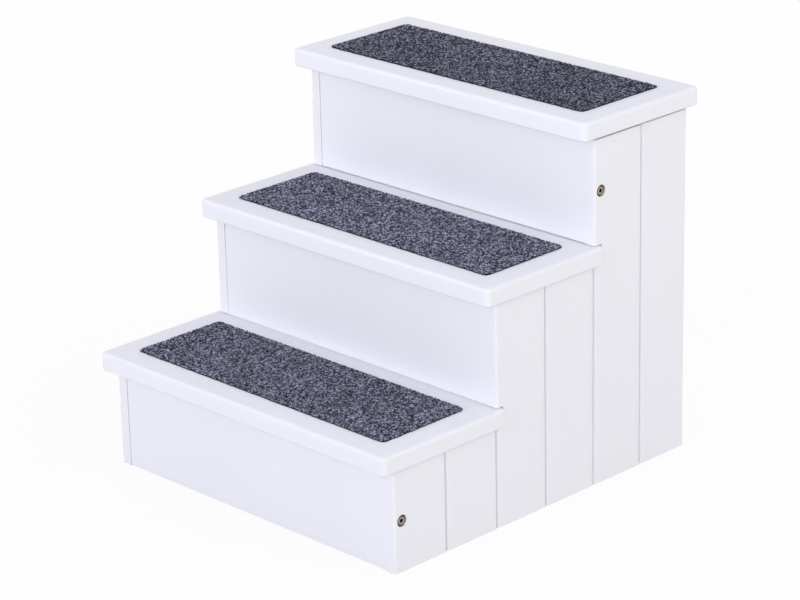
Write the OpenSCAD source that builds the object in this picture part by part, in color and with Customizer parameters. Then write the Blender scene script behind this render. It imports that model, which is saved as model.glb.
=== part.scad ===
// Three-step pet stairs with boarded sides, painted treads and inset carpets.
// X runs across the stairs, Y from the front to the back and Z up.
// The origin is on the floor, under the middle of the whole outline.

/* [Steps] */
// Height of the lowest tread above the floor
lowest_rise = 126.5; // [110:0.5:150]
// Height from each tread to the next
step_rise = 128.5; // [110:0.5:150]
// Outside width across the two boarded sides
body_w = 400; // [320:1:600]

/* [Side boards] */
// Width of one side board, from joint to joint
board_w = 70.9; // [60:0.1:90]
// Thickness of a side board
board_t = 12.5; // [12.5:0.5:20]
// Trimmed off the back edge of the last board
back_trim = 2.5; // [0:0.5:8]
// Rounding of a board's long outer edges, which makes the grooves
board_edge_r = 2.75; // [1:0.25:4]
// Rounding of a board's long inner edges
board_inner_r = 0.4; // [0.2:0.1:2]
// Open joint between two neighbouring boards
board_joint = 0.9; // [0.2:0.1:1.4]
// How much higher the last board stands than the one before it
last_board_extra = 0.5; // [0.1:0.1:1]

/* [Treads] */
// Thickness of a tread
tread_t = 19; // [16:0.5:24]
// How far the lowest tread's nose stands out in front of the side boards
tread_nose = 17.75; // [10:0.25:26]
// How far the lowest tread runs back under the riser above it
tread_tuck = 9; // [6:0.25:13]
// How much deeper the top tread is than the others
top_tread_extra = 3.75; // [0:0.25:6]
// How much less the middle tread's nose stands out than the lowest one's
middle_tread_set_back = 1.5; // [0.5:0.25:3]
// How much more the top tread's nose stands out than the lowest one's
top_tread_set_forward = 2.5; // [0.5:0.25:4]
// How far a tread stands out past the side boards
tread_side_out = 5.5; // [2:0.5:10]
// Rounding along the top edges of a tread
tread_top_r = 4; // [2:0.5:6]
// Rounding along the bottom edges of a tread
tread_bottom_r = 1.5; // [0.5:0.25:3]
// Radius of a tread's corners, seen from above
tread_corner_r = 6.5; // [6:0.5:9]
// How far the top tread is held above the tops of the side boards
top_tread_lift = 3.5; // [1.5:0.25:5]
// Space above and behind a tread's end where it is let into a side board
tread_let_in_gap = 0.6; // [0.2:0.1:1]

/* [Carpets] */
// Painted border left in front of a carpet and at its sides
carpet_border = 28.25; // [20:0.25:40]
// Painted border left behind a carpet
carpet_back_border = 30.25; // [22:0.25:44]
// Depth of the recess that a carpet lies in
recess_depth = 3; // [1.5:0.25:5]
// How far a carpet's pile stands above the tread
carpet_proud = 1.5; // [1:0.25:5]
// Corner radius of the recess
recess_corner_r = 5; // [3:0.5:10]
// Space left around a carpet inside its recess
carpet_fit = 0.3; // [0.1:0.1:1]

/* [Risers and back] */
// Thickness of a riser board
riser_t = 18; // [14:0.5:20]
// How far a riser's face lies behind the front edges of the side boards
riser_set_back = 1.2; // [0.5:0.1:3]
// Space under the lowest riser
riser_floor_gap = 0.5; // [0.5:0.1:2]
// Space between the lowest tread and the middle riser
middle_riser_gap = 0.4; // [0.2:0.1:0.8]
// Space between the middle tread and the top riser
top_riser_gap = 0.9; // [0.2:0.1:0.9]
// Space between a riser's end and the side board
riser_end_gap = 0.2; // [0.1:0.1:0.9]
// Rounding of the upright edges of the risers and the back panel
panel_edge_r = 0.4; // [0.2:0.1:2]
// Thickness of the back panel
back_t = 12; // [9:0.5:15]
// How far the back panel lies inside the back edges of the side boards
back_set_in = 1; // [0.5:0.1:3]
// Space under the back panel
back_floor_gap = 8; // [4:0.5:14]

/* [Battens] */
// Thickness of a batten, across the stairs
batten_t = 18; // [16:0.5:24]
// Height of a batten
batten_h = 30; // [24:1:36]
// Rounding of a batten's long edges
batten_edge_r = 1.5; // [0.5:0.25:3]
// Height of the foot battens' underside above the floor
foot_batten_z = 14; // [10:0.5:24]

/* [Bolts, nuts and dowels] */
// Diameter of a bolt's shank
bolt_d = 6; // [5:0.5:7]
// Diameter of a bolt's head
bolt_head_d = 12; // [10:0.5:14]
// Height of a bolt's head
bolt_head_h = 2.4; // [2:0.1:4]
// Rounding of a bolt head's rim
bolt_head_edge_r = 1.8; // [0.3:0.1:1.9]
// How far a bolt head's face lies below the face of its side board
bolt_sunk = 1; // [0.5:0.1:3.5]
// Space around a bolt's head in its recess
bolt_head_gap = 0.3; // [0.2:0.1:1.2]
// Width of a bolt's hexagon socket across its flats
bolt_socket_w = 4; // [3:0.25:6]
// Depth of a bolt's hexagon socket
bolt_socket_depth = 1.9; // [1:0.1:2.5]
// How far a bolt reaches past the middle of its cross nut
bolt_past_nut = 9; // [7:0.5:14]
// Space around a bolt's shank in the boards
bolt_hole_gap = 0.3; // [0.1:0.1:0.6]
// How far the bolts lie below the middle of their riser
bolt_drop = 1; // [0:0.25:4]
// Distance from a riser's end to the middle of a cross nut
nut_inset = 28; // [22:1:34]
// Diameter of a cross nut
nut_d = 10; // [9:0.5:12]
// Length of a cross nut
nut_len = 11; // [9:0.5:12]
// Diameter of a wooden dowel
dowel_d = 8; // [6:0.5:9]
// Length of a wooden dowel
dowel_len = 30; // [24:1:40]
// Length of a dowel that is in the side board
dowel_in_board = 9; // [6:0.5:10.5]
// Distance of a dowel above or below the middle of its riser
dowel_offset = 34; // [24:1:38]
// Chamfer on a dowel's ends
dowel_chamfer = 0.8; // [0.3:0.1:1.5]
// Space around dowels, cross nuts and screws in their holes
snug_gap = 0.1; // [0.05:0.05:0.2]
// How much deeper than its dowel, nut or screw a blind hole is
blind_hole_spare = 0.5; // [0.2:0.1:1]

/* [Wood screws] */
// Diameter of a wood screw's shank
screw_d = 4; // [3:0.25:5]
// Diameter of a wood screw's round head
screw_head_d = 8; // [6.5:0.25:9]
// Height of a wood screw's head
screw_head_h = 2.4; // [1.8:0.1:3]
// Rounding of a wood screw head's rim
screw_head_edge_r = 1.5; // [0.5:0.1:1.7]
// Length of a wood screw's point
screw_point = 4; // [2:0.25:5]
// How far the screws in the battens go into a side board
board_screw_bite = 10; // [7:0.5:11]
// How far the screws in the battens go into a tread
tread_screw_bite = 10; // [7:0.5:10]
// How far the screws in the back panel go into a batten
back_screw_bite = 12; // [8:0.5:14]
// Width of each arm of a screw head's cross slot
screw_slot_w = 1; // [0.6:0.1:1.4]
// Length of each arm of the cross slot, tip to tip
screw_slot_len = 4.4; // [3:0.2:5]
// Depth of the cross slot
screw_slot_depth = 1.3; // [0.8:0.1:1.6]

/* [Hidden] */
$fn = 64;
// Number of steps, and of side boards in the length of each step
step_count = 3;
boards_per_step = 2;
board_count = step_count * boards_per_step;
// How far cuts run past the faces that they cut
overrun = 1;
// Where a side's two tread screws lie along their step, in shares of a board's width
tread_screw_shares = [0.7, 1.3];
// Turns between an upright fastener and one that lies along X or Y, in degrees
quarter_turn = 90;
// Angle from the middle of a hexagon's flat to the next corner, in degrees
hexagon_half_side = 30;

// How much further back than the lowest tread each tread lies on its step
tread_set_backs = [0, middle_tread_set_back, -top_tread_set_forward];

// Places along the stairs, measured back from the front edges of the first boards
body_d = board_count * board_w - back_trim;
back_panel_y = body_d - back_set_in - back_t;
function joint_y(i) = i * board_w;
function board_front_y(i) = i == 0 ? 0 : joint_y(i) + board_joint / 2;
function board_back_y(i) = i == board_count - 1 ? body_d : joint_y(i + 1) - board_joint / 2;
function board_mid_y(i) = (board_front_y(i) + board_back_y(i)) / 2;
function step_y(k) = joint_y(k * boards_per_step);
function tread_d(k) =
    tread_nose + boards_per_step * board_w + tread_tuck + (k == step_count - 1 ? top_tread_extra : 0);
function tread_front_y(k) = step_y(k) - tread_nose + tread_set_backs[k];
function tread_back_y(k) = tread_front_y(k) + tread_d(k);
function riser_y(k) = step_y(k) + riser_set_back;
function riser_mid_y(k) = riser_y(k) + riser_t / 2;
// The whole outline runs from the lowest nose to the back of the top tread
outline_mid_y = (tread_front_y(0) + tread_back_y(step_count - 1)) / 2;

// Heights above the floor
function board_top_z(k) = lowest_rise + k * step_rise - tread_t;
function board_h(i) =
    board_top_z(floor(i / boards_per_step)) + (i == board_count - 1 ? last_board_extra : 0);
function tread_z(k) = board_top_z(k) + (k == step_count - 1 ? top_tread_lift : 0);
function tread_top_z(k) = tread_z(k) + tread_t;
function riser_z(k) =
    k == 0 ? riser_floor_gap
    : tread_top_z(k - 1) + (k == 1 ? middle_riser_gap : top_riser_gap);
function riser_h(k) = tread_z(k) - riser_z(k);
function riser_mid_z(k) = riser_z(k) + riser_h(k) / 2;
function bolt_z(k) = riser_mid_z(k) - bolt_drop;
function tread_batten_z(k) = tread_z(k) - batten_h;

// Places across the stairs, measured from the middle
tread_w = body_w + 2 * tread_side_out;
board_inner_x = body_w / 2 - board_t;
riser_end_x = board_inner_x - riser_end_gap;
batten_inner_x = board_inner_x - batten_t;
batten_mid_x = board_inner_x - batten_t / 2;
nut_x = riser_end_x - nut_inset;

// The round recess for a bolt's head
bolt_recess_d = bolt_head_d + 2 * bolt_head_gap;
bolt_recess_depth = bolt_sunk + bolt_head_h;

// Lengths of the fasteners below their heads
bolt_len = board_t - bolt_recess_depth + riser_end_gap + nut_inset + bolt_past_nut;
board_screw_len = batten_t + board_screw_bite;
tread_screw_len = batten_h + tread_screw_bite;
back_screw_len = back_t + back_screw_bite;

// The recesses, and the carpets that lie in them
recess_w = tread_w - 2 * carpet_border;
carpet_w = recess_w - 2 * carpet_fit;
function recess_d(k) = tread_d(k) - carpet_border - carpet_back_border;
function recess_mid_y(k) = tread_front_y(k) + carpet_border + recess_d(k) / 2;
function carpet_d(k) = recess_d(k) - 2 * carpet_fit;
carpet_corner_r = recess_corner_r - carpet_fit;

// The risers that are bolted to the sides; the middle one has only its dowels
bolted_steps = [0, 2];

// Moves its children from the front edges of the first boards to the middle of the outline
module placed() {
    translate([0, -outline_mid_y, 0]) children();
}

// Draws its children on the right for side 1, and mirrored to the left for side -1
module on_side(side) {
    mirror([side < 0 ? 1 : 0, 0, 0]) children();
}

// A rectangle that stands on the middle of the X axis, its lower and upper corners rounded
module eased_rect(across, up, r_low, r_high) {
    translate([r_low - across / 2, 0]) square([across - 2 * r_low, up - r_high]);
    translate([r_high - across / 2, r_low]) square([across - 2 * r_high, up - r_low]);
    translate([-across / 2, r_low]) square([across, up - r_low - r_high]);
    for (s = [-1, 1]) {
        translate([s * (across / 2 - r_low), r_low]) circle(r_low);
        translate([s * (across / 2 - r_high), up - r_high]) circle(r_high);
    }
}

// A rectangle around the origin with all four corners rounded alike
module round_rect(across, along, r) {
    square([across - 2 * r, along], center = true);
    square([across, along - 2 * r], center = true);
    for (sx = [-1, 1], sy = [-1, 1]) {
        translate([sx * (across / 2 - r), sy * (along / 2 - r)]) circle(r);
    }
}

// A flat slab on Z = 0, around the origin, with rounded corners and rounded edges
module eased_slab(across, along, up, corner_r, r_low, r_high) {
    rotate([quarter_turn, 0, 0]) {
        linear_extrude(along - 2 * corner_r, center = true) eased_rect(across, up, r_low, r_high);
    }
    rotate([quarter_turn, 0, quarter_turn]) {
        linear_extrude(across - 2 * corner_r, center = true) eased_rect(along, up, r_low, r_high);
    }
    for (sx = [-1, 1], sy = [-1, 1]) {
        translate([sx * (across / 2 - corner_r), sy * (along / 2 - corner_r), 0]) rotate_extrude() {
            intersection() {
                eased_rect(2 * corner_r, up, r_low, r_high);
                square([corner_r, up]);
            }
        }
    }
}

// A round bar that starts at the origin and runs along X
module bar_x(d, len) {
    rotate([0, quarter_turn, 0]) cylinder(h = len, d = d);
}

// The half section of a fastener's head, which hangs below the X axis
module head_section(r, h, edge_r) {
    translate([0, -h]) square([r - edge_r, h]);
    translate([0, edge_r - h]) square([r, h - edge_r]);
    intersection() {
        translate([r - edge_r, edge_r - h]) circle(edge_r);
        translate([0, -h]) square([r, h]);
    }
}

// A wood screw whose head hangs below Z = 0 and whose shank points up
module wood_screw(len) {
    difference() {
        union() {
            rotate_extrude() head_section(screw_head_d / 2, screw_head_h, screw_head_edge_r);
            cylinder(h = len - screw_point, d = screw_d);
            translate([0, 0, len - screw_point]) cylinder(h = screw_point, d1 = screw_d, d2 = 0);
        }
        for (turn = [0, quarter_turn]) {
            rotate([0, 0, turn]) {
                translate([-screw_slot_len / 2, -screw_slot_w / 2, -screw_head_h - overrun]) {
                    cube([screw_slot_len, screw_slot_w, overrun + screw_slot_depth]);
                }
            }
        }
    }
}

// The hole for a wood screw, from a start on Z = 0 up
module screw_hole(depth) {
    translate([0, 0, -overrun]) cylinder(h = overrun + depth + blind_hole_spare, d = screw_d + 2 * snug_gap);
}

// The places, from front to back, of the screws that hold the boards from one board on to a batten
module at_board_mids(first_board, z) {
    for (i = [first_board : board_count - 1]) {
        translate([0, board_mid_y(i), z]) children();
    }
}

// The holes in the right side for the dowels and the sunk bolt of one step's riser
module riser_end_holes(k) {
    for (s = [-1, 1]) {
        translate([riser_end_x, riser_mid_y(k), riser_mid_z(k) + s * dowel_offset]) {
            bar_x(dowel_d + 2 * snug_gap, riser_end_gap + dowel_in_board + blind_hole_spare);
        }
    }
    if (len(search(k, bolted_steps)) > 0) {
        translate([riser_end_x, riser_mid_y(k), bolt_z(k)]) {
            bar_x(bolt_d + 2 * bolt_hole_gap, riser_end_gap + board_t + overrun);
        }
        translate([body_w / 2 - bolt_recess_depth, riser_mid_y(k), bolt_z(k)]) {
            bar_x(bolt_recess_d, bolt_recess_depth + overrun);
        }
    }
}

// The space that the end of the tread below takes out of a step's first board
module tread_end_space(k) {
    translate([board_inner_x - overrun, step_y(k + 1) - overrun, tread_z(k)]) {
        cube([
            board_t + 2 * overrun,
            overrun + tread_back_y(k) - step_y(k + 1) + tread_let_in_gap,
            tread_t + tread_let_in_gap
        ]);
    }
}

// One upright side board, counted from 0 at the front
module side_board(side, i) {
    k = floor(i / boards_per_step);
    is_first_of_step = i % boards_per_step == 0;
    color("#EEF0F3") placed() on_side(side) difference() {
        translate([board_inner_x, board_mid_y(i), 0]) {
            linear_extrude(board_h(i)) rotate(-quarter_turn) {
                eased_rect(board_back_y(i) - board_front_y(i), board_t, board_inner_r, board_edge_r);
            }
        }
        if (is_first_of_step) {
            riser_end_holes(k);
        }
        if (is_first_of_step && k > 0) {
            tread_end_space(k - 1);
        }
        translate([board_inner_x, board_mid_y(i), foot_batten_z + batten_h / 2]) {
            rotate([0, quarter_turn, 0]) screw_hole(board_screw_bite);
        }
        for (step = [0 : k]) {
            translate([board_inner_x, board_mid_y(i), tread_batten_z(step) + batten_h / 2]) {
                rotate([0, quarter_turn, 0]) screw_hole(board_screw_bite);
            }
        }
    }
}

// The riser of one step, with its end holes and the holes for its cross nuts
module riser(k) {
    riser_end_depth = dowel_len - dowel_in_board - riser_end_gap + blind_hole_spare;
    bolt_end_depth = nut_inset + bolt_past_nut + blind_hole_spare;
    color("#EEF0F3") placed() difference() {
        translate([0, riser_y(k), riser_z(k)]) {
            linear_extrude(riser_h(k)) {
                eased_rect(2 * riser_end_x, riser_t, panel_edge_r, panel_edge_r);
            }
        }
        for (side = [-1, 1]) {
            on_side(side) {
                for (s = [-1, 1]) {
                    translate([
                        riser_end_x - riser_end_depth,
                        riser_mid_y(k),
                        riser_mid_z(k) + s * dowel_offset
                    ]) {
                        bar_x(dowel_d + 2 * snug_gap, riser_end_depth + overrun);
                    }
                }
                if (len(search(k, bolted_steps)) > 0) {
                    translate([riser_end_x - bolt_end_depth, riser_mid_y(k), bolt_z(k)]) {
                        bar_x(bolt_d + 2 * bolt_hole_gap, bolt_end_depth + overrun);
                    }
                    translate([nut_x, riser_y(k) + riser_t + overrun, bolt_z(k)]) {
                        rotate([quarter_turn, 0, 0]) {
                            cylinder(h = overrun + riser_t / 2 + nut_len / 2, d = nut_d + 2 * snug_gap);
                        }
                    }
                }
            }
        }
    }
}

// The panel that closes the back, with clear holes for its screws
module back_panel() {
    color("#EEF0F3") placed() difference() {
        translate([0, back_panel_y, back_floor_gap]) {
            linear_extrude(tread_z(step_count - 1) - back_floor_gap) {
                eased_rect(2 * riser_end_x, back_t, panel_edge_r, panel_edge_r);
            }
        }
        at_back_screws() screw_hole(back_screw_len);
    }
}

// One tread, with its carpet recess and the blind holes for its screws
module tread(k) {
    color("#EEF0F3") placed() difference() {
        translate([0, (tread_front_y(k) + tread_back_y(k)) / 2, tread_z(k)]) {
            eased_slab(tread_w, tread_d(k), tread_t, tread_corner_r, tread_bottom_r, tread_top_r);
        }
        translate([0, recess_mid_y(k), tread_top_z(k) - recess_depth]) {
            linear_extrude(recess_depth + overrun) round_rect(recess_w, recess_d(k), recess_corner_r);
        }
        at_tread_screws(k) screw_hole(tread_screw_len);
    }
}

// One carpet in its recess
module carpet(k) {
    color("#4C4D58") placed() {
        translate([0, recess_mid_y(k), tread_top_z(k) - recess_depth]) {
            linear_extrude(recess_depth + carpet_proud) {
                round_rect(carpet_w, carpet_d(k), carpet_corner_r);
            }
        }
    }
}

// A plain batten along the inside of a right-hand side, from a riser's back to the back panel
module batten_bar(front_y, z) {
    translate([batten_mid_x, back_panel_y, z]) rotate([quarter_turn, 0, 0]) {
        linear_extrude(back_panel_y - front_y) {
            eased_rect(batten_t, batten_h, batten_edge_r, batten_edge_r);
        }
    }
}

// The batten near the floor, screwed to all the boards of its side
module foot_batten(side) {
    color("#DDBE8E") placed() on_side(side) difference() {
        batten_bar(riser_y(0) + riser_t, foot_batten_z);
        at_board_mids(0, foot_batten_z + batten_h / 2) {
            translate([batten_inner_x, 0, 0]) rotate([0, quarter_turn, 0]) screw_hole(board_screw_len);
        }
        translate([0, 0, foot_batten_z - tread_batten_z(0)]) back_screw_place(0) {
            screw_hole(back_screw_len);
        }
    }
}

// The batten that carries one tread, screwed to the boards and up into the tread
module tread_batten(side, k) {
    color("#DDBE8E") placed() on_side(side) difference() {
        batten_bar(riser_y(k) + riser_t, tread_batten_z(k));
        at_board_mids(k * boards_per_step, tread_batten_z(k) + batten_h / 2) {
            translate([batten_inner_x, 0, 0]) rotate([0, quarter_turn, 0]) screw_hole(board_screw_len);
        }
        tread_screw_places(k) screw_hole(tread_screw_len);
        back_screw_place(k) screw_hole(back_screw_len);
    }
}

// Where the screws go up through a right-hand batten into its tread
module tread_screw_places(k) {
    for (share = tread_screw_shares) {
        translate([batten_mid_x, step_y(k) + share * board_w, tread_batten_z(k)]) children();
    }
}

// Where a screw goes forward through the back panel into a right-hand tread batten
module back_screw_place(k) {
    translate([batten_mid_x, back_panel_y + back_t, tread_batten_z(k) + batten_h / 2]) {
        rotate([quarter_turn, 0, 0]) children();
    }
}

// Both sides' places for the screws into one tread
module at_tread_screws(k) {
    for (side = [-1, 1]) {
        on_side(side) tread_screw_places(k) children();
    }
}

// Both sides' places for the screws through the back panel
module at_back_screws() {
    for (side = [-1, 1]) {
        on_side(side) {
            for (k = [0 : step_count - 1]) {
                back_screw_place(k) children();
            }
            translate([0, 0, foot_batten_z - tread_batten_z(0)]) back_screw_place(0) children();
        }
    }
}

// The four bolts that hold the lowest and the top riser between the sides
module side_bolts() {
    color("#9A8069") placed() {
        for (side = [-1, 1], k = bolted_steps) {
            on_side(side) translate([body_w / 2 - bolt_recess_depth, riser_mid_y(k), bolt_z(k)]) {
                rotate([0, -quarter_turn, 0]) difference() {
                    union() {
                        rotate_extrude() {
                            head_section(bolt_head_d / 2, bolt_head_h, bolt_head_edge_r);
                        }
                        cylinder(h = bolt_len, d = bolt_d);
                    }
                    translate([0, 0, -bolt_head_h - overrun]) {
                        cylinder(
                            h = overrun + bolt_socket_depth,
                            r = bolt_socket_w / 2 / cos(hexagon_half_side),
                            $fn = 6
                        );
                    }
                }
            }
        }
    }
}

// The four cross nuts in the risers, which the bolts screw into
module cross_nuts() {
    color("#B9BCC0") placed() {
        for (side = [-1, 1], k = bolted_steps) {
            on_side(side) translate([nut_x, riser_mid_y(k), bolt_z(k)]) difference() {
                rotate([quarter_turn, 0, 0]) cylinder(h = nut_len, d = nut_d, center = true);
                translate([-nut_d, 0, 0]) bar_x(bolt_d + 2 * snug_gap, 2 * nut_d);
            }
        }
    }
}

// The dowels that line up each riser's ends with the sides, two at each end
module riser_dowels() {
    color("#C99E68") placed() {
        for (side = [-1, 1], k = [0 : step_count - 1], s = [-1, 1]) {
            on_side(side) translate([
                board_inner_x + dowel_in_board - dowel_len,
                riser_mid_y(k),
                riser_mid_z(k) + s * dowel_offset
            ]) {
                rotate([0, quarter_turn, 0]) {
                    cylinder(h = dowel_chamfer, d1 = dowel_d - 2 * dowel_chamfer, d2 = dowel_d);
                    translate([0, 0, dowel_chamfer]) {
                        cylinder(h = dowel_len - 2 * dowel_chamfer, d = dowel_d);
                    }
                    translate([0, 0, dowel_len - dowel_chamfer]) {
                        cylinder(h = dowel_chamfer, d1 = dowel_d, d2 = dowel_d - 2 * dowel_chamfer);
                    }
                }
            }
        }
    }
}

// The screws of one side that hold its boards to its four battens
module board_screws(side) {
    color("#B9BCC0") placed() on_side(side) {
        at_board_mids(0, foot_batten_z + batten_h / 2) {
            translate([batten_inner_x, 0, 0]) rotate([0, quarter_turn, 0]) wood_screw(board_screw_len);
        }
        for (k = [0 : step_count - 1]) {
            at_board_mids(k * boards_per_step, tread_batten_z(k) + batten_h / 2) {
                translate([batten_inner_x, 0, 0]) rotate([0, quarter_turn, 0]) wood_screw(board_screw_len);
            }
        }
    }
}

// The screws that go up through the battens into the three treads
module tread_screws() {
    color("#B9BCC0") placed() {
        for (k = [0 : step_count - 1]) {
            at_tread_screws(k) wood_screw(tread_screw_len);
        }
    }
}

// The screws that hold the back panel to the ends of the battens
module back_screws() {
    color("#B9BCC0") placed() at_back_screws() wood_screw(back_screw_len);
}

for (i = [0 : board_count - 1]) {
    side_board(-1, i);
    side_board(1, i);
}
riser(0);  // lower_riser
riser(1);  // middle_riser
riser(2);  // top_riser
back_panel();
tread(0);  // lower_tread
tread(1);  // middle_tread
tread(2);  // top_tread
carpet(0);  // lower_carpet
carpet(1);  // middle_carpet
carpet(2);  // top_carpet
foot_batten(-1);  // left_foot_batten
tread_batten(-1, 0);  // left_lower_batten
tread_batten(-1, 1);  // left_middle_batten
tread_batten(-1, 2);  // left_top_batten
foot_batten(1);  // right_foot_batten
tread_batten(1, 0);  // right_lower_batten
tread_batten(1, 1);  // right_middle_batten
tread_batten(1, 2);  // right_top_batten
side_bolts();
cross_nuts();
riser_dowels();
board_screws(-1);  // left_board_screws
board_screws(1);  // right_board_screws
tread_screws();
back_screws();
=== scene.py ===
import math
import bmesh
import bpy
from mathutils import Matrix, Vector


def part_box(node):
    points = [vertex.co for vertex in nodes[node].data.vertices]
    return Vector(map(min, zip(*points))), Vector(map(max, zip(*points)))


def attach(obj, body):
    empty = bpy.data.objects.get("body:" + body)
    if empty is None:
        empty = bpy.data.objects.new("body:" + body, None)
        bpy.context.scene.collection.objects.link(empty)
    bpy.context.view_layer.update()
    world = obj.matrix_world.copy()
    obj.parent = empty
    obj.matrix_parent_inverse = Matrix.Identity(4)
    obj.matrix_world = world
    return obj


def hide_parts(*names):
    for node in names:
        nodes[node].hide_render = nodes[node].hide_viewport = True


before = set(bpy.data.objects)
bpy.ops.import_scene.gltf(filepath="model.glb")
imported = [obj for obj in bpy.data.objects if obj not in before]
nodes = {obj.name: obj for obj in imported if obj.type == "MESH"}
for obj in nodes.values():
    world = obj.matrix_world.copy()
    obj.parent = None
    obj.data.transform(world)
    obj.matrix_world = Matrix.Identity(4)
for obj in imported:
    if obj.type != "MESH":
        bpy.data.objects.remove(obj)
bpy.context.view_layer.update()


# Side boards: twelve upright boards, six to a side, each with its long outer edges rounded so that a groove
# shows at every joint. They are painted satin white all round before they are screwed to the battens.

paint_tones = ((0.833, 0.840, 0.880), (0.847, 0.854, 0.894))
paint_roughness = (0.42, 0.5)
paint_cloud_fineness = 7
stipple_fineness = 900
stipple_depth = 0.000015
grain_fineness = 260
grain_stretch = 0.06
grain_depth = 0.00002
unstretched = (1, 1, 1)


def new_material(name):
    material = bpy.data.materials.new(name)
    material.use_nodes = True
    tree = material.node_tree
    shader = tree.nodes["Principled BSDF"]
    return material, tree, shader


def object_place(tree):
    return tree.nodes.new("ShaderNodeTexCoord").outputs["Object"]


def stretched_noise(tree, stretch, fineness, detail, swirl=0):
    mapping = tree.nodes.new("ShaderNodeMapping")
    mapping.inputs["Scale"].default_value = stretch
    noise = tree.nodes.new("ShaderNodeTexNoise")
    noise.inputs["Scale"].default_value = fineness
    noise.inputs["Detail"].default_value = detail
    noise.inputs["Distortion"].default_value = swirl
    tree.links.new(object_place(tree), mapping.inputs["Vector"])
    tree.links.new(mapping.outputs["Vector"], noise.inputs["Vector"])
    return noise.outputs["Fac"]


def stretch_along(axis, share):
    stretch = [1.0, 1.0, 1.0]
    stretch["XYZ".index(axis)] = share
    return stretch


def remap(tree, source, low, high, from_low=0.3, from_high=0.7):
    # A noise mostly lies between 0.3 and 0.7
    spread = tree.nodes.new("ShaderNodeMapRange")
    spread.inputs["From Min"].default_value = from_low
    spread.inputs["From Max"].default_value = from_high
    spread.inputs["To Min"].default_value = low
    spread.inputs["To Max"].default_value = high
    tree.links.new(source, spread.inputs["Value"])
    return spread.outputs["Result"]


def bump_from(tree, source, distance, under=None):
    bump = tree.nodes.new("ShaderNodeBump")
    bump.inputs["Distance"].default_value = distance
    tree.links.new(source, bump.inputs["Height"])
    if under is not None:
        tree.links.new(under, bump.inputs["Normal"])
    return bump.outputs["Normal"]


def two_tone(tree, factor, first, second):
    # first and second are colours, or outputs that carry one. A colour mix has its factor in socket 0, its two
    # colours in sockets 6 and 7 and its result in socket 2
    mix = tree.nodes.new("ShaderNodeMix")
    mix.data_type = "RGBA"
    tree.links.new(factor, mix.inputs[0])
    for socket, tone in ((mix.inputs[6], first), (mix.inputs[7], second)):
        if isinstance(tone, tuple):
            socket.default_value = (*tone, 1)
        else:
            tree.links.new(tone, socket)
    return mix.outputs[2]


def dress(names, material):
    for name in names:
        nodes[name].data.materials.clear()
        nodes[name].data.materials.append(material)


def satin_paint(name, grain_axis):
    # The wood's grain shows faintly through the paint
    material, tree, shader = new_material(name)
    grain = stretched_noise(tree, stretch_along(grain_axis, grain_stretch), grain_fineness, 4)
    cloud = stretched_noise(tree, unstretched, paint_cloud_fineness, 2)
    stipple = stretched_noise(tree, unstretched, stipple_fineness, 2)
    tree.links.new(two_tone(tree, remap(tree, cloud, 0, 1), *paint_tones), shader.inputs["Base Color"])
    tree.links.new(remap(tree, stipple, *paint_roughness), shader.inputs["Roughness"])
    tree.links.new(
        bump_from(tree, stipple, stipple_depth, bump_from(tree, grain, grain_depth)),
        shader.inputs["Normal"],
    )
    return material


dress([f"{side}_board_{number}" for side in ("left", "right") for number in range(1, 7)],
      satin_paint("side_paint", "Z"))


# Risers, back panel and treads: the boards that lie across the stairs, in the same paint, with their grain from
# side to side. The risers are bolted and dowelled between the sides, and the others are screwed to the battens.

dress(["lower_riser", "middle_riser", "top_riser", "back_panel", "lower_tread", "middle_tread", "top_tread"],
      satin_paint("cross_paint", "X"))


# Carpets: a low cut pile of dark and light grey yarns on a backing, glued into the routed recess of each tread.
# The yarn ends lean a little, each its own way, and stand a little above the painted wood.

carpet_corner = 0.0047
corner_steps = 6
tuft_height = 0.0015
tuft_radius = 0.0013
tip_radius = 0.0012
tuft_sides = 5
tuft_spacing = 0.0017
tuft_density = 2600000
tuft_tilt = 0.22
least_tuft = 0.85
largest_tuft = 1.1
tuft_sunk_share = 0.93
upward_slope = 0.5
first_seed = 3

dark_yarn = (0.035, 0.0355, 0.052)
pale_yarn = (0.54, 0.55, 0.73)
# The colour deep in the pile is painted shade between the yarns, not a yarn colour
painted_shade_between_yarns = (0.022, 0.022, 0.030)
shaded_depth = 0.0006
unshaded_depth = 0.0001
yarn_share = 0.6
heather_span = (-0.4, 0.8)
heather_fineness = 480
heather_swirl = 1.6
worn_fineness = 22
worn_spread = 0.1
yarn_roughness = 0.92
yarn_specular = 0.2
carpet_steps = (
    # Step, a brightness that is painted light and shade for how much light reaches that step, and how rare its
    # pale yarns are
    ("lower", 0.85, 2.35),
    ("middle", 0.965, 2.7),
    ("top", 0.73, 3.4),
)


def maths(tree, operation, *values):
    # The values are numbers, or outputs that carry one
    node = tree.nodes.new("ShaderNodeMath")
    node.operation = operation
    for socket, value in zip(node.inputs, values):
        if isinstance(value, (int, float)):
            socket.default_value = value
        else:
            tree.links.new(value, socket)
    return node.outputs["Value"]


def split_place(tree):
    place = tree.nodes.new("ShaderNodeSeparateXYZ")
    tree.links.new(object_place(tree), place.inputs["Vector"])
    return place.outputs


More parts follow.
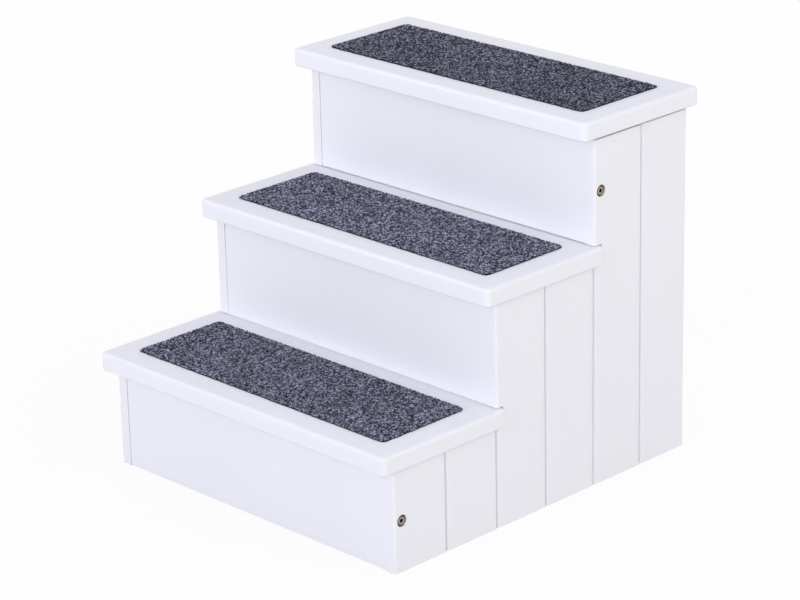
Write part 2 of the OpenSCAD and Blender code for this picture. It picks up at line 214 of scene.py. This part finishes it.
def cut_pile(name, tone, pale_rarity, pile_top):
    material, tree, shader = new_material(name)
    yarn = tree.nodes.new("ShaderNodeAttribute")
    yarn.attribute_name = "tuft_shade"
    heather = stretched_noise(tree, unstretched, heather_fineness, 3, heather_swirl)
    cloud = stretched_noise(tree, unstretched, worn_fineness, 2)
    both = maths(tree, "MULTIPLY_ADD", yarn.outputs["Fac"], yarn_share, remap(tree, heather, *heather_span))
    # Few of the yarns are light
    pale = maths(tree, "POWER", both, pale_rarity)
    yarns = two_tone(tree, pale, dark_yarn, pale_yarn)
    # Painted shade: the yarns are painted darker the deeper they lie below their tips, standing in for the
    # shade the pile casts on itself
    painted_tip_light = remap(tree, split_place(tree)["Z"], 0, 1, pile_top - shaded_depth, pile_top - unshaded_depth)
    # Soft patches of wear, and each step's brightness, which is painted light and shade: the top carpet is
    # painted darker because less light reaches it
    wear_and_step_light = tree.nodes.new("ShaderNodeHueSaturation")
    tree.links.new(two_tone(tree, painted_tip_light, painted_shade_between_yarns, yarns), wear_and_step_light.inputs["Color"])
    tree.links.new(
        remap(tree, cloud, (1 - worn_spread) * tone, (1 + worn_spread) * tone), wear_and_step_light.inputs["Value"]
    )
    tree.links.new(wear_and_step_light.outputs["Color"], shader.inputs["Base Color"])
    shader.inputs["Roughness"].default_value = yarn_roughness
    shader.inputs["Specular IOR Level"].default_value = yarn_specular
    return material


def cut_pile_tree():
    # Scatters yarn ends over the upward faces of a backing
    group = bpy.data.node_groups.new("cut_pile", "GeometryNodeTree")
    face = group.interface
    face.new_socket("Backing", in_out="INPUT", socket_type="NodeSocketGeometry")
    for name, kind in (
        ("Spacing", "Float"), ("Height", "Float"), ("Radius", "Float"), ("Tip radius", "Float"),
        ("Tilt", "Float"), ("Seed", "Int"), ("Yarn", "Material"),
    ):
        face.new_socket(name, in_out="INPUT", socket_type=f"NodeSocket{kind}")
    face.new_socket("Pile", in_out="OUTPUT", socket_type="NodeSocketGeometry")
    add = group.nodes.new
    join = group.links.new
    given = add("NodeGroupInput").outputs

    # The upward faces
    normal = add("ShaderNodeSeparateXYZ")
    join(add("GeometryNodeInputNormal").outputs["Normal"], normal.inputs["Vector"])
    upward = add("FunctionNodeCompare")
    upward.data_type = "FLOAT"
    upward.operation = "GREATER_THAN"
    join(normal.outputs["Z"], upward.inputs["A"])
    upward.inputs["B"].default_value = upward_slope

    # One point for each yarn end, with its own shade
    spots = add("GeometryNodeDistributePointsOnFaces")
    spots.distribute_method = "POISSON"
    join(given["Backing"], spots.inputs["Mesh"])
    join(upward.outputs["Result"], spots.inputs["Selection"])
    join(given["Spacing"], spots.inputs["Distance Min"])
    join(given["Seed"], spots.inputs["Seed"])
    spots.inputs["Density Max"].default_value = tuft_density
    shade = add("FunctionNodeRandomValue")
    shade.data_type = "FLOAT"
    join(given["Seed"], shade.inputs["Seed"])
    keep = add("GeometryNodeStoreNamedAttribute")
    keep.data_type = "FLOAT"
    keep.domain = "POINT"
    keep.inputs["Name"].default_value = "tuft_shade"
    join(spots.outputs["Points"], keep.inputs["Geometry"])
    join(shade.outputs[1], keep.inputs["Value"])

    # One blunt yarn end, shaded soft all round
    cone = add("GeometryNodeMeshCone")
    cone.fill_type = "NGON"
    cone.inputs["Vertices"].default_value = tuft_sides
    join(given["Tip radius"], cone.inputs["Radius Top"])
    join(given["Radius"], cone.inputs["Radius Bottom"])
    join(given["Height"], cone.inputs["Depth"])
    soft = add("GeometryNodeSetShadeSmooth")
    join(cone.outputs["Mesh"], soft.inputs["Geometry"])

    # Each yarn end turned, tilted and sized by chance
    low = add("ShaderNodeCombineXYZ")
    high = add("ShaderNodeCombineXYZ")
    high.inputs["Z"].default_value = math.tau
    opposite = maths(group, "MULTIPLY", given["Tilt"], -1)
    for axis in "XY":
        join(opposite, low.inputs[axis])
        join(given["Tilt"], high.inputs[axis])
    turn = add("FunctionNodeRandomValue")
    turn.data_type = "FLOAT_VECTOR"
    join(low.outputs["Vector"], turn.inputs[0])
    join(high.outputs["Vector"], turn.inputs[1])
    join(given["Seed"], turn.inputs["Seed"])
    angles = add("FunctionNodeEulerToRotation")
    join(turn.outputs[0], angles.inputs["Euler"])
    size = add("FunctionNodeRandomValue")
    size.data_type = "FLOAT"
    size.inputs[2].default_value = least_tuft
    size.inputs[3].default_value = largest_tuft
    join(given["Seed"], size.inputs["Seed"])
    tufts = add("GeometryNodeInstanceOnPoints")
    join(keep.outputs["Geometry"], tufts.inputs["Points"])
    join(soft.outputs["Geometry"], tufts.inputs["Instance"])
    join(angles.outputs["Rotation"], tufts.inputs["Rotation"])
    join(size.outputs[1], tufts.inputs["Scale"])

    # The backing and its yarns as one mesh
    whole = add("GeometryNodeJoinGeometry")
    join(given["Backing"], whole.inputs["Geometry"])
    join(tufts.outputs["Instances"], whole.inputs["Geometry"])
    real = add("GeometryNodeRealizeInstances")
    join(whole.outputs["Geometry"], real.inputs["Geometry"])
    dyed = add("GeometryNodeSetMaterial")
    join(real.outputs["Geometry"], dyed.inputs["Geometry"])
    join(given["Yarn"], dyed.inputs["Material"])
    join(dyed.outputs["Geometry"], add("NodeGroupOutput").inputs["Pile"])
    return group


def backing_mesh(name, low, high, corner):
    # A slab with rounded upright corners
    ring = []
    for quarter, (x, y) in enumerate((
        (high.x - corner, high.y - corner), (low.x + corner, high.y - corner),
        (low.x + corner, low.y + corner), (high.x - corner, low.y + corner),
    )):
        for stop in range(corner_steps + 1):
            angle = math.pi / 2 * (quarter + stop / corner_steps)
            ring.append((x + corner * math.cos(angle), y + corner * math.sin(angle)))
    mesh = bmesh.new()
    under_face = mesh.faces.new([mesh.verts.new((x, y, low.z)) for x, y in reversed(ring)])
    over_face = mesh.faces.new([mesh.verts.new((x, y, high.z)) for x, y in ring])
    under = list(reversed(under_face.verts[:]))
    over = over_face.verts[:]
    for i in range(len(ring)):
        j = (i + 1) % len(ring)
        mesh.faces.new((under[i], under[j], over[j], over[i]))
    data = bpy.data.meshes.new(name)
    mesh.to_mesh(data)
    mesh.free()
    return data


pile_tree = cut_pile_tree()
for seed, (step, tone, pale_rarity) in enumerate(carpet_steps, first_seed):
    low, high = (Vector(corner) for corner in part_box(f"{step}_carpet"))
    tuft_foot = Vector((high.x, high.y, high.z - tuft_height * tuft_sunk_share))
    base = bpy.data.objects.new("backing", backing_mesh("backing", low, tuft_foot, carpet_corner))
    bpy.context.scene.collection.objects.link(base)
    scatter = base.modifiers.new("pile", "NODES")
    scatter.node_group = pile_tree
    settings = {
        "Spacing": tuft_spacing, "Height": tuft_height, "Radius": tuft_radius, "Tip radius": tip_radius,
        "Tilt": tuft_tilt, "Seed": seed, "Yarn": cut_pile(f"{step}_yarn", tone, pale_rarity, high.z),
    }
    for socket in pile_tree.interface.items_tree:
        if socket.in_out == "INPUT" and socket.name in settings:
            scatter[socket.identifier] = settings[socket.name]
    whole = bpy.data.meshes.new_from_object(base.evaluated_get(bpy.context.evaluated_depsgraph_get()))
    bpy.data.objects.remove(base)
    pile = bpy.data.objects.new(f"{step}_carpet_pile", whole)
    bpy.context.scene.collection.objects.link(pile)
    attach(pile, "root")
    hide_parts(f"{step}_carpet")


# Battens: planed strips of bare pine along the inside of both sides. The boards, the treads and the back panel
# are screwed to them.

pine_tones = ((0.78, 0.58, 0.36), (0.62, 0.40, 0.21))
pine_ring_fineness = 90
ring_stretch = 0.07
ring_edges = (0.35, 0.65)
fibre_stretch = 0.3 * ring_stretch
fibre_fineness_share = 9
fibre_depth = 0.00004
fleck_strength = 0.35
fleck_edges = (0.45, 0.75)
bare_roughness = (0.55, 0.7)


def bare_wood(name, grain_axis, tones, ring_fineness):
    material, tree, shader = new_material(name)
    pale, dark = tones
    rings = stretched_noise(tree, stretch_along(grain_axis, ring_stretch), ring_fineness, 3)
    fibre = stretched_noise(
        tree, stretch_along(grain_axis, fibre_stretch), ring_fineness * fibre_fineness_share, 2
    )
    figure = two_tone(tree, remap(tree, rings, 0, 1, *ring_edges), pale, dark)
    flecks = two_tone(tree, remap(tree, fibre, 0, fleck_strength, *fleck_edges), figure, dark)
    tree.links.new(flecks, shader.inputs["Base Color"])
    tree.links.new(remap(tree, fibre, *bare_roughness), shader.inputs["Roughness"])
    tree.links.new(bump_from(tree, fibre, fibre_depth), shader.inputs["Normal"])
    return material


dress([f"{side}_{place}_batten" for side in ("left", "right") for place in ("foot", "lower", "middle", "top")],
      bare_wood("pine", "Y", pine_tones, pine_ring_fineness))


# Dowels: beech pins, glued into the ends of the risers and standing in blind holes in the side boards. Two at
# each riser end keep the riser from turning.

beech_tones = ((0.68, 0.47, 0.28), (0.55, 0.34, 0.18))
beech_ring_fineness = 260

dress(["riser_dowels"], bare_wood("beech", "X", beech_tones, beech_ring_fineness))


# Bolts: four, in bronze plating, with flat heads, rounded rims and hexagon sockets. Each lies sunk in a round
# recess in the side and screws into a cross nut near the riser's end.

bronze_tones = ((0.72, 0.56, 0.45), (0.62, 0.47, 0.37))
# The dark tone is partly patina and partly painted shade on the rims
patina_and_rim_shade = (0.075, 0.042, 0.032)
bronze_roughness = (0.34, 0.46)
bronze_metallic = 0.9
brushed_fineness = 700
flat_edges = (0.965, 0.999)
patina_and_shade_depth = 0.0006
bright_depth = 0.0001
bolt_head_radius = 0.006
bright_radius = 0.58 * bolt_head_radius
patina_and_shade_radius = 0.76 * bolt_head_radius


def from_nearest_axis(tree, place, axes):
    # How far a place lies from the nearer of two axes that run from side to side
    beside = tree.nodes.new("ShaderNodeCombineXYZ")
    tree.links.new(place["Y"], beside.inputs["Y"])
    tree.links.new(place["Z"], beside.inputs["Z"])
    reaches = []
    for axis in axes:
        reach = tree.nodes.new("ShaderNodeVectorMath")
        reach.operation = "DISTANCE"
        tree.links.new(beside.outputs["Vector"], reach.inputs[0])
        reach.inputs[1].default_value = axis
        reaches.append(reach.outputs["Value"])
    return maths(tree, "MINIMUM", *reaches)


def bronze():
    # The rims, the sockets and a ring round each face are painted dark: partly the plating's dark patina, and
    # partly painted shade and dark reflection on the rounded rims, standing in for the shadowed gap round each
    # head
    material, tree, shader = new_material("bronze_plating")
    brushed = stretched_noise(tree, unstretched, brushed_fineness, 3)
    bright = two_tone(tree, remap(tree, brushed, 0, 1), *bronze_tones)
    least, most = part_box("side_bolts")
    place = split_place(tree)
    normal = tree.nodes.new("ShaderNodeSeparateXYZ")
    tree.links.new(tree.nodes.new("ShaderNodeNewGeometry").outputs["Normal"], normal.inputs["Vector"])
    flat = remap(tree, maths(tree, "ABSOLUTE", normal.outputs["X"]), 0, 1, *flat_edges)
    outward = maths(tree, "ABSOLUTE", place["X"])
    outermost = remap(tree, outward, 0, 1, most[0] - patina_and_shade_depth, most[0] - bright_depth)
    off_axis = from_nearest_axis(tree, place, (
        (0, least[1] + bolt_head_radius, least[2] + bolt_head_radius),
        (0, most[1] - bolt_head_radius, most[2] - bolt_head_radius),
    ))
    inner = remap(tree, off_axis, 1, 0, bright_radius, patina_and_shade_radius)
    rubbed_and_lit = maths(tree, "MULTIPLY", maths(tree, "MULTIPLY", flat, outermost), inner)
    tree.links.new(two_tone(tree, rubbed_and_lit, patina_and_rim_shade, bright), shader.inputs["Base Color"])
    shader.inputs["Metallic"].default_value = bronze_metallic
    tree.links.new(remap(tree, brushed, *bronze_roughness), shader.inputs["Roughness"])
    return material


dress(["side_bolts"], bronze())


# Cross nuts and wood screws: steel with bright zinc plating. The nuts are short barrels across the risers, and
# the screws go through the battens and the back panel.

zinc_tones = ((0.64, 0.65, 0.67), (0.53, 0.54, 0.57))
zinc_roughness = (0.26, 0.4)
zinc_cloud_fineness = 340


def zinc():
    material, tree, shader = new_material("zinc_plating")
    cloud = stretched_noise(tree, unstretched, zinc_cloud_fineness, 3)
    tree.links.new(two_tone(tree, remap(tree, cloud, 0, 1), *zinc_tones), shader.inputs["Base Color"])
    shader.inputs["Metallic"].default_value = 1
    tree.links.new(remap(tree, cloud, *zinc_roughness), shader.inputs["Roughness"])
    return material


dress(["cross_nuts", "left_board_screws", "right_board_screws", "tread_screws", "back_screws"], zinc())


# Floor: plain and white. The camera sees it nearly white all over, with a faint shadow under the stairs, and it
# throws less light back on the stairs than a white floor would.

floor_half = 6.0
floor_seen = (1.0, 1.0, 1.0)
floor_bounce = (0.62, 0.62, 0.62)
floor_roughness = 0.9
floor_white_share = 0.85

floor_mesh = bpy.data.meshes.new("floor")
floor_mesh.from_pydata(
    [(-floor_half, -floor_half, 0), (floor_half, -floor_half, 0), (floor_half, floor_half, 0),
     (-floor_half, floor_half, 0)],
    [], [(0, 1, 2, 3)],
)
floor = bpy.data.objects.new("floor", floor_mesh)
bpy.context.scene.collection.objects.link(floor)
floor_finish, tree, shader = new_material("floor_finish")
shader.inputs["Roughness"].default_value = floor_roughness
shader.inputs["Specular IOR Level"].default_value = 0
seen = tree.nodes.new("ShaderNodeLightPath").outputs["Is Camera Ray"]
tree.links.new(two_tone(tree, seen, floor_bounce, floor_seen), shader.inputs["Base Color"])
white = tree.nodes.new("ShaderNodeEmission")
lit_or_white = tree.nodes.new("ShaderNodeMixShader")
tree.links.new(maths(tree, "MULTIPLY", seen, floor_white_share), lit_or_white.inputs["Fac"])
tree.links.new(shader.outputs["BSDF"], lit_or_white.inputs[1])
tree.links.new(white.outputs["Emission"], lit_or_white.inputs[2])
tree.links.new(lit_or_white.outputs["Shader"], tree.nodes["Material Output"].inputs["Surface"])
floor_mesh.materials.append(floor_finish)


# Light: the stairs stand in a white studio whose walls glow softly, most of all in front. The camera sees plain
# white walls, and what shines on the stairs reflects pale grey ones.

walls_seen = (1.0, 1.0, 1.0)
walls_reflected = (0.6, 0.6, 0.62)
wall_glows = (
    # Where the light comes from, how narrow it is, and its colour
    ((0, -1, 0), 8, (4.37, 4.48, 4.81)),
    ((1, 0, 0.1), 2, (1.94, 1.85, 1.77)),
    ((0, 1, 0.3), 2, (0.72, 0.76, 0.73)),
    ((-1, 0, 0.3), 2, (1.25, 1.05, 1.12)),
    ((0, 0, 1), 2, (0.26, 0.35, 0.45)),
)

world = bpy.data.worlds.new("studio")
world.use_nodes = True
tree = world.node_tree


def wall_glow(towards, narrowness, colour):
    # Light that comes from one side of the room and fades away from it
    side = tree.nodes.new("ShaderNodeVectorMath")
    side.operation = "DOT_PRODUCT"
    side.inputs[1].default_value = Vector(towards).normalized()
    tree.links.new(tree.nodes.new("ShaderNodeTexCoord").outputs["Generated"], side.inputs[0])
    ahead = maths(tree, "MAXIMUM", side.outputs["Value"], 0)
    scaled = tree.nodes.new("ShaderNodeVectorMath")
    scaled.operation = "SCALE"
    scaled.inputs[0].default_value = colour
    tree.links.new(maths(tree, "POWER", ahead, narrowness), scaled.inputs["Scale"])
    return scaled.outputs["Vector"]


total = None
for towards, narrowness, colour in wall_glows:
    glow = wall_glow(towards, narrowness, colour)
    if total is not None:
        both = tree.nodes.new("ShaderNodeVectorMath")
        tree.links.new(total, both.inputs[0])
        tree.links.new(glow, both.inputs[1])
        glow = both.outputs["Vector"]
    total = glow
walls = tree.nodes["Background"]
walls.inputs["Strength"].default_value = 1
tree.links.new(total, walls.inputs["Color"])
rays = tree.nodes.new("ShaderNodeLightPath").outputs
plain = tree.nodes.new("ShaderNodeBackground")
tree.links.new(two_tone(tree, rays["Is Glossy Ray"], walls_seen, walls_reflected), plain.inputs["Color"])
direct = rays["Is Camera Ray"]
for kind in ("Is Glossy Ray", "Is Transmission Ray"):
    direct = maths(tree, "MAXIMUM", direct, rays[kind])
lit_or_plain = tree.nodes.new("ShaderNodeMixShader")
tree.links.new(direct, lit_or_plain.inputs["Fac"])
tree.links.new(walls.outputs["Background"], lit_or_plain.inputs[1])
tree.links.new(plain.outputs["Background"], lit_or_plain.inputs[2])
tree.links.new(lit_or_plain.outputs["Shader"], tree.nodes["World Output"].inputs["Surface"])
bpy.context.scene.world = world
bpy.context.scene.view_settings.view_transform = "Standard"


# Camera: the photograph is taken with a long lens from in front and to the right, from well above the top
# tread, with the camera held a little askew.

camera_aim = Vector((0.00695, -0.00432, 0.17370))
camera_distance = 3.1226
camera_turn = math.radians(45.3805)
camera_height = math.radians(20.5337)
camera_roll = math.radians(-1.2934)
camera_lens = 138.271
camera_sensor = 36
camera_reach = 100

camera_data = bpy.data.cameras.new("camera")
camera_data.sensor_width = camera_sensor
camera_data.lens = camera_lens
camera_data.clip_end = camera_reach
camera = bpy.data.objects.new("camera", camera_data)
bpy.context.scene.collection.objects.link(camera)
bpy.context.scene.camera = camera
sight = Vector((
    math.sin(camera_turn) * math.cos(camera_height),
    -math.cos(camera_turn) * math.cos(camera_height),
    math.sin(camera_height),
))
camera.location = camera_aim + camera_distance * sight
camera.rotation_euler = (
    sight.to_track_quat("Z", "Y").to_matrix() @ Matrix.Rotation(camera_roll, 3, "Z")
).to_euler()
